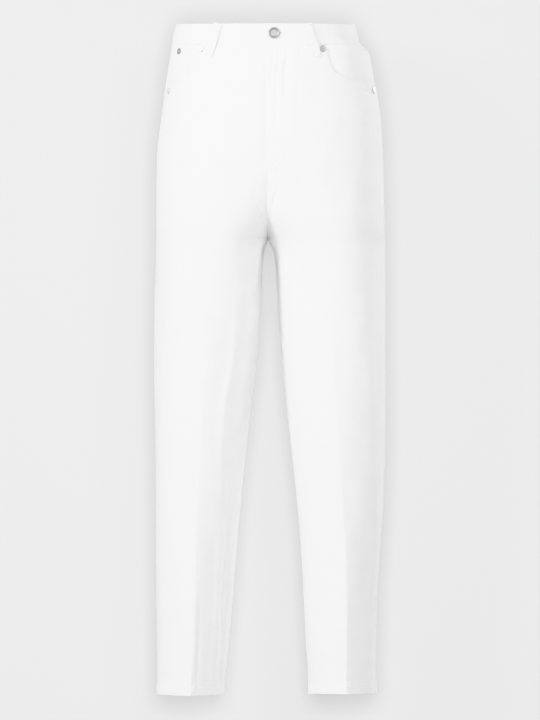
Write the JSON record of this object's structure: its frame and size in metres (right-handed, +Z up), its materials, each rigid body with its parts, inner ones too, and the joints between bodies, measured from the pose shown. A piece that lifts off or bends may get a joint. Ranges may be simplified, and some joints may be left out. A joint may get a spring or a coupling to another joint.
{
  "type": "loose fit jeans",
  "caption": "High-waisted loose fit jeans in plain white denim, with tapered legs pressed to a front crease, filled out as worn and open at the waist and hems.",
  "frame": {"origin": "middle of the waist opening, level with the top of the waistband at the side seams, where a wearer holds the jeans up", "axes": "+Z up, the front faces -Y, the wearer's left is +X"},
  "size_m": [0.3484, 0.262, 1.0203],
  "materials": {
    "white_denim": "matt white cotton twill, washed",
    "waistband_denim": "matt white cotton twill, doubled",
    "pocket_denim": "matt white cotton twill, washed",
    "zip_tape": "plain woven tape",
    "button_metal": "polished nickel"
  },
  "bodies": {
    "root": {"front_left": "white_denim", "front_right": "white_denim", "back_left": "white_denim", "back_right": "white_denim", "yoke_left": "white_denim", "yoke_right": "white_denim", "fly_underlap": "white_denim", "waistband": "waistband_denim", "belt_loop_front_left": "waistband_denim", "belt_loop_front_right": "waistband_denim", "belt_loop_back_left": "waistband_denim", "belt_loop_back_right": "waistband_denim", "belt_loop_back_middle": "waistband_denim", "pocket_facing_left": "pocket_denim", "pocket_facing_right": "pocket_denim", "coin_pocket": "pocket_denim", "back_pocket_left": "pocket_denim", "back_pocket_right": "pocket_denim", "fly_zip": "zip_tape", "waist_button": "button_metal", "rivet_left_inner": "button_metal", "rivet_left_side": "button_metal", "rivet_right_inner": "button_metal", "rivet_right_side": "button_metal", "rivet_coin_pocket": "button_metal"}
  },
  "joints": []
}
